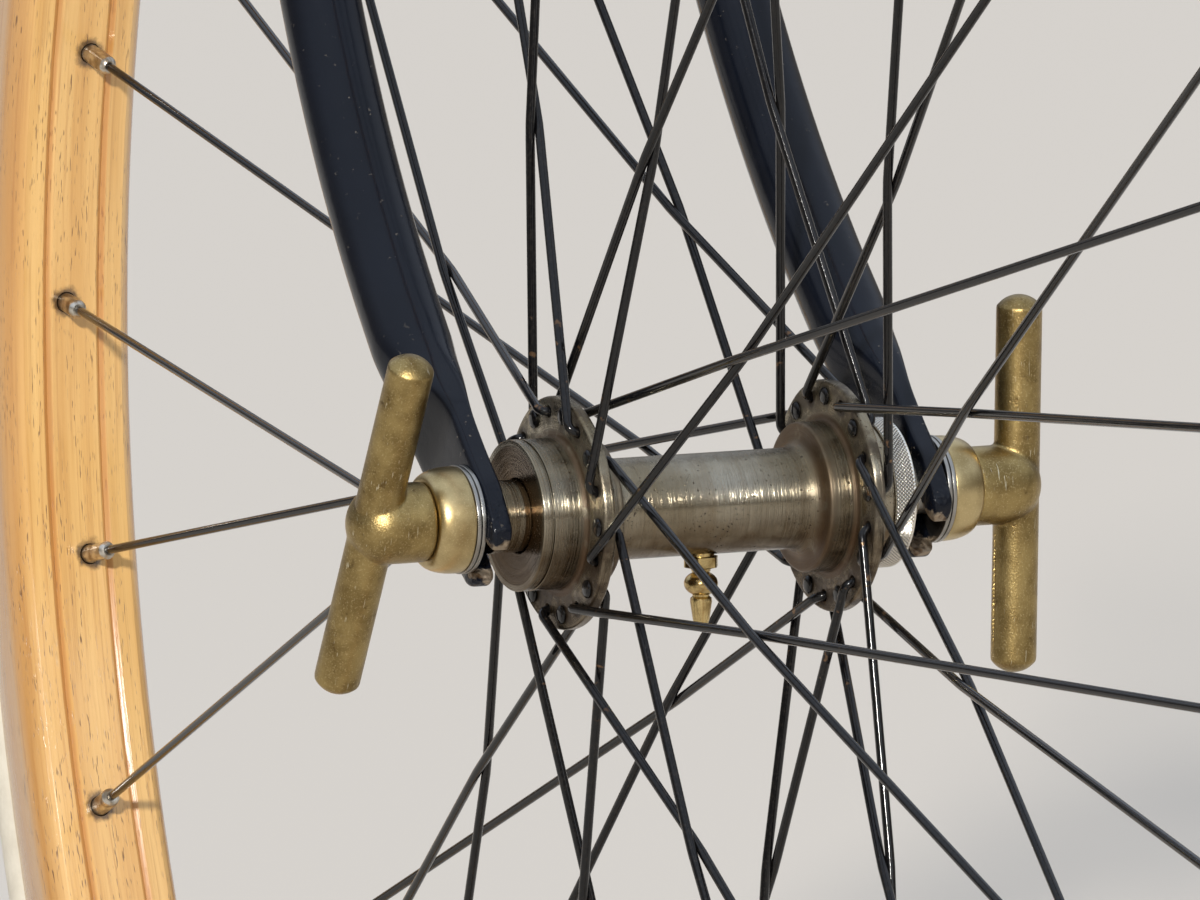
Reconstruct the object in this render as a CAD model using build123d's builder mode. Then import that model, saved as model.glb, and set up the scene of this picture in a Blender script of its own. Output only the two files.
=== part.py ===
from build123d import *
from math import atan2, cos, hypot, radians, sin, sqrt
import os

os.makedirs("parts", exist_ok=True)

# Front wheel of a racing bicycle, clamped in its fork by two T-bar wing nuts.
# Millimetres. +X is forward, +Y is the rider's left, +Z is up. The origin is the top of
# the crown race seat, on the steering axis. "right" pieces are at -Y, "left" at +Y.

# Steering axis and fork line
head_tilt = 21.0            # steering axis leans back from upright, degrees
end_tilt = 44.0             # lower end of a blade leans from upright, degrees
bend_radius = 270.0
lower_straight = 47.0       # axle to the lower end of the bend
blade_top_y = 35.4          # blade axis from the middle plane, at the crown

# Fork blades
blade_r = 7.75
blade_top_r = 12.0
blade_taper = 160.0         # length of the tapered part above the bend
squash_from = 42.0          # axle to where the tube starts to flatten
squash_length = 27.0
squash_step = 0.08
squash_lap = 0.2
squash_sections = 5
end_y = 46.0                # middle of a flattened end from the middle plane
end_thick = 4.6
end_width = 19.5
tip_width = 16.6
tip_reach = 11.2            # axle to a prong's tip, along the slot
tip_round = 3.0
end_swell = 0.6             # extra half width beside the axle
slot_play = 0.2

# Crown and steerer
crown_depth = 22.0          # flat top to the crown's underside
crown_clear = 10.27         # tyre to the crown's underside, on the steering axis
crown_flat = 15.5           # half width of the flat top
crown_drop = 8.0            # fall of the sloping shoulders
crown_thick = 21.0          # fore and aft
crown_round = 4.0
socket_wall = 2.0
socket_length = 40.0
socket_cap = 5.0            # socket's top below the flat top
lug_notch_r = 11.0
lug_notch_deep = 9.0        # notch's reach into the socket, fore and aft
braze_gap = 0.05
seat_r = 13.2
seat_length = 6.0
seat_relief = 0.5           # undercut at the foot of the seat
seat_relief_r = 12.95
seat_chamfer = 0.4
steerer_r = 12.7
spigot_r = 12.4             # steerer's turned end, brazed in the crown
steerer_bore_r = 11.1
steerer_length = 168.0      # above the crown's flat top

# Axle and its hardware, distances along Y from the middle plane
axle_r = 4.6
thread_gap = 0.05
axle_half = 62.0
axle_chamfer = 0.6
cone_r = 6.85
cone_depth = 8.0            # cone's bearing end behind the cup's outer face
cone_nose_r = 5.3
cone_slope = 5.0
plate_washer_r = 10.3
plate_washer_thick = 0.8
washer_groove = 0.2
washer_groove_r = 9.6
dome_r = 10.1
dome_edge = 1.1
dome_thick = 6.8
dome_crown = 0.62           # how full the dome's shoulder is
dome_seat = 0.15            # dome's small end larger than the nut's boss
boss_r = 7.6
bar_y = 67.7                # wing nut's bar from the middle plane
bar_r = 4.45
bar_length = 72.5
bar_dome = 3.6
boss_round = 4.2
nut_space = 0.5             # axle's end to the bottom of the nut's bore
wing_lean = {"right": 23.5, "left": 2.4}    # bar's top leans forward, degrees

# Hub
barrel_r = 10.25
barrel_half = 14.5
drum_r = 14.35
drum_start = 20.1
flange_y = 28.2             # middle of a flange from the middle plane
flange_r = 22.15
flange_thick = 2.4
flange_round = 0.7
flange_root = 1.4
waist_round = 4.0
brow_round = 1.6
hole_circle_r = 19.2
flange_hole_r = 1.25
hub_bore_r = 8.0
cup_bore_r = 12.0
cup_bore_depth = 9.0
shell_end = {"right": 36.0, "left": 34.6}
cup_width = {"right": 2.3, "left": 5.0}
cup_skirt = 3.0
cup_wall = 2.4
cup_web = 1.2
cup_groove = 0.35
cup_groove_deep = 0.45
cup_dish = 0.8
cup_lip = 1.1
press_gap = 0.05
run_gap = 0.3               # cup's bore to the cone

# Wheel
holes_a_side = 18
crossings = 3
first_hole = {"right": 18.5, "left": 8.5}   # an outer-spoke hole, degrees from +X to +Z
rim_seat_r = 300.0          # inner face of the rim
rim_half = 14.4
rim_band_half = 5.9         # middle band between the two grooves
rim_groove = 1.0
rim_groove_depth = 0.9
rim_shoulder = 3.5          # width of the rounded corner beside the inner face
rim_fall = 0.9              # inner face's fall towards its corners
rim_lean = 2.3              # wall's lean in towards the bed
rim_corner = 3.4
rim_wall_low = 7.5
rim_wall_high = 14.0
rim_lip = 0.3
stagger = 1.7               # nipple holes from the middle plane
tyre_r = 12.5
bed_height = 27.5           # tyre's centre line above the rim's inner face
tyre_glue = 0.1
bed_half = 11.0
spoke_r = 0.9
elbow_r = 2.2
elbow_out = 1.8             # outer spokes' line from the flange's face
elbow_in = 1.4              # inner spokes' line from the flange's face
head_r = 1.75
head_thick = 0.8
touch_gap = 0.06            # between the two spokes where they are laced
nipple_r = 1.95
nipple_out = 8.5            # nipple's length inside the rim's inner face
nipple_in = 8.0             # nipple's head above the rim's inner face
nipple_head_r = 2.9
nipple_head = 3.0
nipple_play = 0.2
nipple_bore_depth = 8.0
nipple_bore_play = 0.05
nipple_end = 0.45           # bevel at the nipple's end
bore_past = 20.0            # how far a hole's cutter runs past the rim

# Grease nipple and valve
grease_r = 2.6
grease_sink = 1.8
grease_foot = 0.6           # round foot above the barrel
hex_low = 0.3
hex_across = 5.6
hex_high = 2.6
ball_r = 3.0
collar_r = 1.9
tip_r = 1.35
grease_length = 13.3
# Levels of the nipple's stem from the end of its hexagon
stem_lap = 0.2
ball_from = 0.6
ball_to = 5.4
ring_from = 5.8
ring_to = 6.9
ring_step = 0.5
tip_from = 7.3
tip_bevel = 0.8
tip_bevel_r = 0.5
valve_angle = 33.5
valve_r = 3.0
valve_length = 27.0
valve_core_r = 1.2
valve_core = 9.0
valve_nut_r = 5.0
valve_nut = 3.0
valve_nut_gap = 0.1
valve_root = 16.0           # valve's length inside the rim and tyre

SIDES = {"right": -1, "left": 1}

# Directions in the middle plane, and the fork's length from the crown's flat top
tilt = radians(head_tilt)
up_steer = Vector(-sin(tilt), 0, cos(tilt))
ahead = Vector(cos(tilt), 0, sin(tilt))
low = radians(end_tilt)
end_down = Vector(sin(low), 0, -cos(low))
turn = radians(end_tilt - head_tilt)
rake = lower_straight * sin(turn) + bend_radius * (1 - cos(turn))
bend_top = lower_straight * cos(turn) + bend_radius * sin(turn)
tyre_centre_r = rim_seat_r + bed_height
fork_length = crown_depth + sqrt((tyre_centre_r + tyre_r + crown_clear) ** 2 - rake**2)
crown_centre = up_steer * -seat_length      # middle of the crown's flat top
axle_centre = crown_centre - up_steer * fork_length + ahead * rake
axle_line = Axis(axle_centre, (0, 1, 0))

# Half section of round pieces: x is the distance along Y, y is the radius
section = Plane(origin=axle_centre, x_dir=(0, 1, 0), z_dir=(1, 0, 0))
# The wheel's own plane: x forward, y up, z towards the rider's right
wheel_plane = Plane(origin=axle_centre, x_dir=(1, 0, 0), z_dir=(0, -1, 0))

end_inner = end_y - end_thick / 2
end_outer = end_y + end_thick / 2
washer_outer = end_outer + 2 * plate_washer_thick + washer_groove
dome_outer = washer_outer + dome_thick
cup_face = {side: shell_end[side] + cup_width[side] for side in SIDES}


def hand_in(piece, name):
    """Label a finished piece and write it out."""
    piece.label = name
    export_step(piece, "parts/" + name + ".step")


def at_side(y, side):
    """Signed place along Y of a distance from the middle plane."""
    return SIDES[side] * y


# Steerer tube, its turned end brazed through the crown
crown_top = Plane(origin=crown_centre, x_dir=(0, 1, 0), z_dir=up_steer)
crown_under = crown_top.offset(-crown_depth)
with BuildPart() as steerer:
    with BuildSketch(crown_under):
        Circle(spigot_r)
    extrude(amount=crown_depth + seat_length)
    with BuildSketch(crown_top.offset(seat_length)):
        Circle(steerer_r)
    extrude(amount=steerer_length - seat_length)
    with BuildSketch(crown_under):
        Circle(steerer_bore_r)
    extrude(amount=crown_depth + steerer_length, mode=Mode.SUBTRACT)
hand_in(steerer.part, "steerer")


# Fork blades: a tapered tube, bent forward, its lower end flattened and slotted
def blade_axes(side):
    """Start of the round tube, its plane and its upper direction."""
    squash_start = axle_centre + Vector(0, at_side(end_y, side), 0) - end_down * squash_from
    rise = fork_length - squash_from * cos(turn)
    lean = atan2(end_y - blade_top_y, rise)
    up_blade = up_steer * cos(lean) - Vector(0, at_side(sin(lean), side), 0)
    return Plane(origin=squash_start, x_dir=ahead, z_dir=ahead.cross(up_blade)), up_blade


def blade_point(bent):
    """Point of the bend, in the blade's plane, after so much of the bend from its low end."""
    start = lower_straight - squash_from
    x = -start * sin(turn) - bend_radius * (cos(turn - bent) - cos(turn))
    y = start * cos(turn) + bend_radius * (sin(turn) - sin(turn - bent))
    return (x, y)


def blade_top(side):
    """Ends of the straight upper part of the blade, and its direction."""
    plane, up_blade = blade_axes(side)
    rise = fork_length - socket_cap - bend_top
    bend_end = plane.from_local_coords(blade_point(turn))
    return bend_end, bend_end + up_blade * rise, up_blade


for side in SIDES:
    plane, up_blade = blade_axes(side)
    bend_end, top, _ = blade_top(side)
    with BuildPart() as blade:
        with BuildLine(plane) as path:
            straight = Line((0, 0), blade_point(0))
            ThreePointArc(straight @ 1, blade_point(turn / 2), blade_point(turn))
        with BuildSketch(Plane(origin=path.wire() @ 0, z_dir=path.wire() % 0)):
            Circle(blade_r)
        sweep()
        with BuildSketch(Plane(origin=bend_end, x_dir=ahead, z_dir=up_blade)):
            Circle(blade_r)
        with BuildSketch(Plane(origin=bend_end + up_blade * blade_taper, x_dir=ahead, z_dir=up_blade)):
            Circle(blade_top_r)
        loft()
        rest = (top - bend_end).length - blade_taper
        with BuildSketch(Plane(origin=bend_end + up_blade * blade_taper, x_dir=ahead, z_dir=up_blade)):
            Circle(blade_top_r)
        extrude(amount=rest)
        # The squash: the tube grows wider and thinner down to the flat end
        squash_end = plane.origin + end_down * squash_length
        across = end_down.cross(Vector(0, 1, 0))
        tube_up = path.wire() % 0
        round_end = Plane(origin=plane.origin, x_dir=plane.z_dir.cross(tube_up), z_dir=-tube_up)
        with BuildSketch(round_end.offset(-squash_lap)):
            SlotOverall(2 * (blade_r + squash_step) + squash_lap, 2 * (blade_r + squash_step))
        for k in range(1, squash_sections):
            gone = k / (squash_sections - 1)
            eased = gone * gone * (3 - 2 * gone)
            middle = plane.origin + (squash_end - plane.origin) * gone
            with BuildSketch(Plane(origin=middle, x_dir=across, z_dir=end_down)):
                SlotOverall(2 * blade_r + squash_lap + (end_width - 2 * blade_r - squash_lap) * eased,
                            2 * blade_r + (end_thick - 2 * blade_r) * eased)
        loft()
        # The flat end, with round edges, narrowed to two prongs by an open slot for the axle
        plate_start = squash_from - squash_length
        plate_plane = Plane(origin=axle_centre + Vector(0, at_side(end_y, side) - end_thick, 0),
                            x_dir=end_down, z_dir=(0, 1, 0))
        with BuildPart(mode=Mode.PRIVATE) as plate:
            with BuildSketch(Plane(origin=squash_end, x_dir=across, z_dir=end_down)):
                SlotOverall(end_width, end_thick)
            extrude(amount=plate_start + tip_reach)
            with BuildSketch(plate_plane) as outline:
                with BuildLine():
                    Polyline((-2 * plate_start, end_width), (0, end_width / 2 + end_swell),
                             (tip_reach, tip_width / 2), (tip_reach, -tip_width / 2),
                             (0, -end_width / 2 - end_swell), (-2 * plate_start, -end_width), close=True)
                make_face()
                fillet(outline.vertices().group_by(Axis.X)[-1], tip_round)
            extrude(amount=2 * end_thick, mode=Mode.INTERSECT)
            with BuildSketch(plate_plane):
                with Locations((tip_reach, 0)):
                    Rectangle(2 * tip_reach, 2 * (axle_r + slot_play))
                Circle(axle_r + slot_play)
            extrude(amount=2 * end_thick, mode=Mode.SUBTRACT)
        add(plate.part)
    hand_in(blade.part, "fork_blade_" + side)

# Crown: sloping shoulders on a socket for each blade, bored for the steerer
crown_front = Plane(origin=crown_centre - ahead * (crown_thick / 2), x_dir=(0, 1, 0), z_dir=ahead)
shoulder_y = blade_top_y + blade_top_r
with BuildPart() as crown:
    with BuildSketch(crown_front) as front:
        with BuildLine():
            Polyline((-crown_flat, 0), (-shoulder_y, -crown_drop), (-shoulder_y, -crown_depth),
                     (shoulder_y, -crown_depth), (shoulder_y, -crown_drop), (crown_flat, 0), close=True)
        make_face()
    extrude(amount=crown_thick)
    fillet(crown.edges().filter_by(Axis((0, 0, 0), ahead)), crown_round)
    for side in SIDES:
        bend_end, top, up_blade = blade_top(side)
        with BuildSketch(Plane(origin=top - up_blade * socket_length, x_dir=ahead, z_dir=up_blade)):
            Circle(blade_top_r + socket_wall)
        extrude(amount=socket_length)
    for side in SIDES:
        bend_end, top, up_blade = blade_top(side)
        bore_from = top - up_blade * (socket_length + 1)
        with BuildSketch(Plane(origin=bore_from, x_dir=ahead, z_dir=up_blade)):
            Circle(blade_top_r + braze_gap)
        extrude(amount=socket_length + 1 + braze_gap, mode=Mode.SUBTRACT)
        # Front and back notches leave a lug point on the outer and inner side
        for fore in (-1, 1):
            notch = top - up_blade * socket_length + ahead * fore * (blade_top_r + socket_wall)
            with BuildSketch(Plane(origin=notch - ahead * lug_notch_deep, x_dir=(0, 1, 0), z_dir=ahead)):
                Circle(lug_notch_r)
            extrude(amount=2 * lug_notch_deep, mode=Mode.SUBTRACT)
    with BuildSketch(crown_top):
        Circle(seat_relief_r)
    extrude(amount=seat_relief)
    with BuildSketch(crown_top.offset(seat_relief)):
        Circle(seat_r)
    extrude(amount=seat_length - seat_relief)
    chamfer(crown.edges().filter_by(GeomType.CIRCLE).sort_by(Axis((0, 0, 0), up_steer))[-1], seat_chamfer)
    with BuildSketch(crown_under):
        Circle(spigot_r + braze_gap)
    extrude(amount=crown_depth + seat_length, mode=Mode.SUBTRACT)
hand_in(crown.part, "fork_crown")

# Axle
with BuildPart() as axle:
    with BuildSketch(section):
        Rectangle(2 * axle_half, axle_r, align=(Align.CENTER, Align.MIN))
    revolve(axis=axle_line)
    chamfer(axle.edges().filter_by(GeomType.CIRCLE), axle_chamfer)
hand_in(axle.part, "axle")

# Cones, plate washers, domed washers: turned pieces on the axle at each side
for side in SIDES:
    s = SIDES[side]
    inner = axle_r + thread_gap
    cone_end = cup_face[side] - cone_depth
    turned = {
        "cone": [(cone_end, inner), (cone_end, cone_nose_r), (cone_end + cone_slope, cone_r),
                 (end_inner, cone_r), (end_inner, inner)],
        "plate_washer": [(end_outer, inner), (end_outer, plate_washer_r),
                         (end_outer + plate_washer_thick, plate_washer_r),
                         (end_outer + plate_washer_thick, washer_groove_r),
                         (end_outer + plate_washer_thick + washer_groove, washer_groove_r),
                         (end_outer + plate_washer_thick + washer_groove, plate_washer_r),
                         (washer_outer, plate_washer_r), (washer_outer, inner)],
    }
    for name, points in turned.items():
        with BuildPart() as piece:
            with BuildSketch(section):
                with BuildLine():
                    Polyline([(s * y, r) for y, r in points], close=True)
                make_face()
            revolve(axis=axle_line)
        hand_in(piece.part, name + "_" + side)
    with BuildPart() as dome:
        with BuildSketch(section):
            with BuildLine():
                face = Polyline((s * dome_outer, inner), (s * washer_outer, inner),
                                (s * washer_outer, dome_r), (s * (washer_outer + dome_edge), dome_r))
                brow_y = washer_outer + dome_edge + (dome_thick - dome_edge) * dome_crown
                shoulder_arc = ThreePointArc(face @ 1, (s * brow_y, dome_r - dome_crown),
                                             (s * dome_outer, boss_r + dome_seat))
                Line(shoulder_arc @ 1, face @ 0)
            make_face()
        revolve(axis=axle_line)
    hand_in(dome.part, "domed_washer_" + side)

# Wing nuts: a round boss with a bar across its closed outer end
for side in SIDES:
    s = SIDES[side]
    lean = radians(wing_lean[side])
    bar_dir = Vector(sin(lean), 0, cos(lean))
    bar_mid = axle_centre + Vector(0, s * bar_y, 0)
    with BuildPart() as nut:
        with BuildSketch(section):
            low_y = min(s * dome_outer, s * (bar_y + bar_r))
            with Locations((low_y, 0)):
                Rectangle(bar_y + bar_r - dome_outer, boss_r, align=(Align.MIN, Align.MIN))
        revolve(axis=axle_line)
        fillet(nut.edges().filter_by(GeomType.CIRCLE).sort_by(Axis.Y)[-1 if s > 0 else 0], boss_round)
        with BuildPart(mode=Mode.PRIVATE) as bar:
            bar_foot = bar_mid - bar_dir * (bar_length / 2)
            with BuildSketch(Plane(origin=bar_foot, x_dir=(0, 1, 0), z_dir=bar_dir)):
                Circle(bar_r)
            extrude(amount=bar_length)
            fillet(bar.edges().filter_by(GeomType.CIRCLE), bar_dome)
        add(bar.part)
        with BuildSketch(section):
            bore_length = axle_half + nut_space - dome_outer
            with Locations((min(s * dome_outer, s * (dome_outer + bore_length)), 0)):
                Rectangle(bore_length, axle_r + thread_gap, align=(Align.MIN, Align.MIN))
        revolve(axis=axle_line, mode=Mode.SUBTRACT)
    hand_in(nut.part, "wing_nut_" + side)

# Hub shell: barrel, two drums, two high flanges drilled for the spokes
face_in = flange_y - flange_thick / 2
face_out = flange_y + flange_thick / 2
half_outline = [(barrel_half, barrel_r), (drum_start, drum_r), (face_in - flange_root, drum_r),
                (face_in, drum_r + flange_root), (face_in, flange_r), (face_out, flange_r),
                (face_out, drum_r + flange_root), (face_out + flange_root, drum_r)]
with BuildPart() as hub:
    with BuildSketch(section) as hub_section:
        with BuildLine():
            right_side = [(-y, r) for y, r in reversed(half_outline)]
            ends = {side: SIDES[side] * shell_end[side] for side in SIDES}
            bores = {side: SIDES[side] * (shell_end[side] - cup_bore_depth) for side in SIDES}
            Polyline([(ends["right"], cup_bore_r), (ends["right"], drum_r)] + right_side + half_outline
                     + [(ends["left"], drum_r), (ends["left"], cup_bore_r), (bores["left"], cup_bore_r),
                        (bores["left"], hub_bore_r), (bores["right"], hub_bore_r),
                        (bores["right"], cup_bore_r)], close=True)
        make_face()
        rims = [v for v in hub_section.vertices() if abs((v - axle_centre).Z - flange_r) < 0.01]
        fillet(rims, flange_round)
        waist = [v for v in hub_section.vertices() if abs(abs(v.Y) - barrel_half) < 0.01]
        fillet(waist, waist_round)
        brow = [v for v in hub_section.vertices() if abs(abs(v.Y) - drum_start) < 0.01]
        fillet(brow, brow_round)
    revolve(axis=axle_line)
    for side in SIDES:
        with Locations(wheel_plane.offset(-SIDES[side] * flange_y)):
            with PolarLocations(hole_circle_r, holes_a_side, start_angle=first_hole[side]):
                Cylinder(flange_hole_r, 2 * flange_thick, mode=Mode.SUBTRACT)
    with Locations(Plane(origin=axle_centre, x_dir=(1, 0, 0), z_dir=(0, 0, -1))):
        Cylinder(grease_r + press_gap, 2 * barrel_r,
                 align=(Align.CENTER, Align.CENTER, Align.MIN), mode=Mode.SUBTRACT)
hand_in(hub.part, "hub_shell")

# Cups: the right one has a narrow lip, the left one a broad ring for a knurl
for side in SIDES:
    s = SIDES[side]
    inner = cone_r + run_gap
    edge = shell_end[side] + press_gap
    web = cup_face[side] - cup_dish - cup_web
    points = [(edge - cup_skirt, inner + cup_wall), (edge - cup_skirt, cup_bore_r - press_gap),
              (edge, cup_bore_r - press_gap), (edge, drum_r - cup_groove_deep),
              (edge + cup_groove, drum_r - cup_groove_deep), (edge + cup_groove, drum_r),
              (cup_face[side], drum_r), (cup_face[side], drum_r - cup_lip),
              (cup_face[side] - cup_dish, inner), (web, inner), (web, inner + cup_wall)]
    with BuildPart() as cup:
        with BuildSketch(section):
            with BuildLine():
                Polyline([(s * y, r) for y, r in points], close=True)
            make_face()
        revolve(axis=axle_line)
    hand_in(cup.part, "cup_" + side)

# Grease nipple under the barrel
down = Plane(origin=axle_centre - Vector(0, 0, barrel_r), x_dir=(1, 0, 0), z_dir=(0, 0, -1))
with BuildPart() as grease:
    with BuildSketch(down.offset(-grease_sink)):
        Circle(grease_r)
    extrude(amount=grease_sink + grease_foot)
    with BuildSketch(down.offset(hex_low)):
        RegularPolygon(hex_across / 2, 6, major_radius=False)
    extrude(amount=hex_high)
    with BuildSketch(Plane(origin=down.origin, x_dir=(1, 0, 0), z_dir=(0, 1, 0))):
        with BuildLine():
            neck = hex_low + hex_high
            stem = Polyline((0, neck - stem_lap), (collar_r, neck - stem_lap), (collar_r, neck + ball_from))
            ball = ThreePointArc(stem @ 1, (ball_r, neck + (ball_from + ball_to) / 2),
                                 (collar_r, neck + ball_to))
            ring_r = collar_r + ring_step
            Polyline(ball @ 1, (ring_r, neck + ring_from), (ring_r, neck + ring_to),
                     (tip_r, neck + tip_from), (tip_r, grease_length - tip_bevel),
                     (tip_r - tip_bevel_r, grease_length), (0, grease_length), (0, neck - stem_lap))
        make_face()
    revolve(axis=Axis(down.origin, (0, 0, 1)))
hand_in(grease.part, "grease_nipple")


# Spokes: each lies in one plane that holds its line to the rim and the axle's direction.
# It starts at its head, passes its flange hole, bends, is laced at the last crossing
# and ends inside its nipple. In that plane x runs to the rim and y outboard.
step = 360 / holes_a_side
swing = radians(crossings * step)
spoke_reach = hypot(rim_seat_r * cos(swing) - hole_circle_r, rim_seat_r * sin(swing))
slant = atan2(rim_seat_r * sin(swing), rim_seat_r * cos(swing) - hole_circle_r)
meet = swing - radians(step / 2)
lace_at = hole_circle_r * sin(meet) / sin(slant - meet)
lace_level = flange_y + (stagger - flange_y) * lace_at / spoke_reach
lap = spoke_r + touch_gap / 2

# Kind: first hole after the side's first, sense of the slant, head, elbow and lace levels
KINDS = {
    "outer": (0, 1, face_in, face_out + elbow_out, lace_level - lap),
    "inner": (step, -1, face_out, face_in - elbow_in, lace_level + lap),
}


def spoke_plane(side, kind):
    """Plane of the first spoke of a kind."""
    shift, sense, *_ = KINDS[kind]
    hole = radians(first_hole[side] + shift)
    bearing = hole + sense * slant
    start = axle_centre + Vector(cos(hole), 0, sin(hole)) * hole_circle_r
    along = Vector(cos(bearing), 0, sin(bearing))
    return Plane(origin=start, x_dir=along, z_dir=along.cross(Vector(0, SIDES[side], 0)))


def nipple_plane(side, kind):
    """Plane across the spoke at the rim's inner face, z towards the hub."""
    lay = spoke_plane(side, kind)
    rim_end = lay.from_local_coords((spoke_reach, stagger))
    lace = lay.from_local_coords((lace_at, KINDS[kind][4]))
    return Plane(origin=rim_end, z_dir=lace - rim_end)


def round_the_hub(piece):
    """Every second hole of a flange, from the first."""
    return [piece.rotate(axle_line, 2 * step * k) for k in range(holes_a_side // 2)]


for side in SIDES:
    for kind, (_, _, head_v, elbow_v, lace_v) in KINDS.items():
        lay = spoke_plane(side, kind)
        out = 1 if kind == "outer" else -1
        short = 1 - (nipple_out - nipple_bore_depth) / (spoke_reach - lace_at)
        spoke_end = (lace_at + (spoke_reach - lace_at) * short, lace_v + (stagger - lace_v) * short)
        with BuildPart() as spoke:
            with BuildLine(lay) as path:
                FilletPolyline((0, head_v - out * head_thick / 2), (0, elbow_v), (lace_at, lace_v),
                               radius=elbow_r)
                Line((lace_at, lace_v), spoke_end)
            with BuildSketch(Plane(origin=path.wire() @ 0, z_dir=path.wire() % 0)):
                Circle(spoke_r)
            sweep(transition=Transition.RIGHT)
            head = Plane(origin=lay.from_local_coords((0, head_v)), x_dir=lay.x_dir,
                         z_dir=lay.y_dir * -out)
            with BuildSketch(head.offset(press_gap)):
                Circle(head_r)
            extrude(amount=head_thick)
        with BuildPart() as spokes:
            add(round_the_hub(spoke.part))
        hand_in(spokes.part, "spokes_" + side + "_" + kind)

# Nipples
for side in SIDES:
    with BuildPart() as nipples:
        for kind in KINDS:
            lay = nipple_plane(side, kind)
            profile = Plane(origin=lay.origin, x_dir=lay.x_dir, z_dir=lay.x_dir.cross(lay.z_dir))
            with BuildPart(mode=Mode.PRIVATE) as nipple:
                with BuildSketch(profile):
                    with BuildLine():
                        bore = spoke_r + nipple_bore_play
                        bore_end = nipple_out - nipple_bore_depth - nipple_end
                        head_from = -nipple_in
                        head_to = head_from - nipple_head
                        Polyline((bore, nipple_out), (nipple_r - nipple_end, nipple_out),
                                 (nipple_r, nipple_out - nipple_end), (nipple_r, head_from),
                                 (nipple_head_r, head_from - nipple_end), (nipple_head_r, head_to),
                                 (0, head_to), (0, bore_end), (bore, bore_end), close=True)
                    make_face()
                revolve(axis=Axis(lay.origin, lay.z_dir))
            add(round_the_hub(nipple.part))
    hand_in(nipples.part, "nipples_" + side)

# Rim: a bent wooden hoop with two grooves inside and a bed for the tyre outside
bed_r = tyre_r + tyre_glue
bed_edge = tyre_centre_r - sqrt(bed_r**2 - bed_half**2)
valve_dir = Vector(cos(radians(valve_angle)), 0, sin(radians(valve_angle)))
valve_plane = Plane(origin=axle_centre + valve_dir * rim_seat_r, x_dir=(0, 1, 0), z_dir=valve_dir * -1)
with BuildPart() as rim:
    with BuildSketch(section) as rim_section:
        with BuildLine() as rim_line:
            inside = Polyline(
                (0, rim_seat_r), (rim_band_half - rim_groove, rim_seat_r),
                (rim_band_half, rim_seat_r + rim_groove_depth),
                (rim_band_half + rim_groove, rim_seat_r + rim_fall / 3),
                (rim_half - rim_shoulder, rim_seat_r + rim_fall))
            corner = ThreePointArc(inside @ 1, (rim_half - rim_shoulder / 4, rim_seat_r + rim_corner),
                                   (rim_half, rim_seat_r + rim_wall_low))
            wall = ThreePointArc(corner @ 1, (rim_half - rim_lean / 4, rim_seat_r + rim_wall_high),
                                 (rim_half - rim_lean, bed_edge + rim_lip))
            lip = Line(wall @ 1, (bed_half, bed_edge))
            bed = ThreePointArc(lip @ 1, (bed_half / 2, tyre_centre_r - sqrt(bed_r**2 - bed_half**2 / 4)),
                                (0, tyre_centre_r - bed_r))
            Line(bed @ 1, inside @ 0)
        make_face()
        mirror(about=Plane.YZ)
    revolve(axis=axle_line)
    for side in SIDES:
        for kind in KINDS:
            lay = nipple_plane(side, kind)
            with BuildPart(mode=Mode.PRIVATE) as bore:
                with BuildSketch(lay.offset(rim_fall)):
                    Circle(nipple_r + nipple_play)
                extrude(amount=-bore_past)
                with BuildSketch(lay.offset(-nipple_in)):
                    Circle(nipple_head_r + nipple_play)
                extrude(amount=-bore_past)
            add(round_the_hub(bore.part), mode=Mode.SUBTRACT)
    with BuildSketch(valve_plane.offset(rim_fall)):
        Circle(valve_r + nipple_play)
    extrude(amount=-bore_past - rim_fall, mode=Mode.SUBTRACT)
hand_in(rim.part, "rim")

# Tyre, glued in the rim's bed
with BuildPart() as tyre:
    with BuildSketch(section):
        with Locations((0, tyre_centre_r)):
            Circle(tyre_r)
    revolve(axis=axle_line)
    with BuildSketch(valve_plane):
        Circle(valve_r + nipple_play)
    extrude(amount=-valve_root - nipple_play, mode=Mode.SUBTRACT)
hand_in(tyre.part, "tyre")

# Valve, through the rim
with BuildPart() as valve:
    with BuildSketch(valve_plane.offset(-valve_root)):
        Circle(valve_r)
    extrude(amount=valve_root + valve_length)
    with BuildSketch(valve_plane.offset(valve_length)):
        Circle(valve_core_r)
    extrude(amount=valve_core)
    with BuildSketch(valve_plane.offset(valve_nut_gap)):
        RegularPolygon(valve_nut_r, 6)
    extrude(amount=valve_nut)
hand_in(valve.part, "valve")
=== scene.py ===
import bmesh
import bpy
import numpy as np
from mathutils import Matrix, Vector


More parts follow.
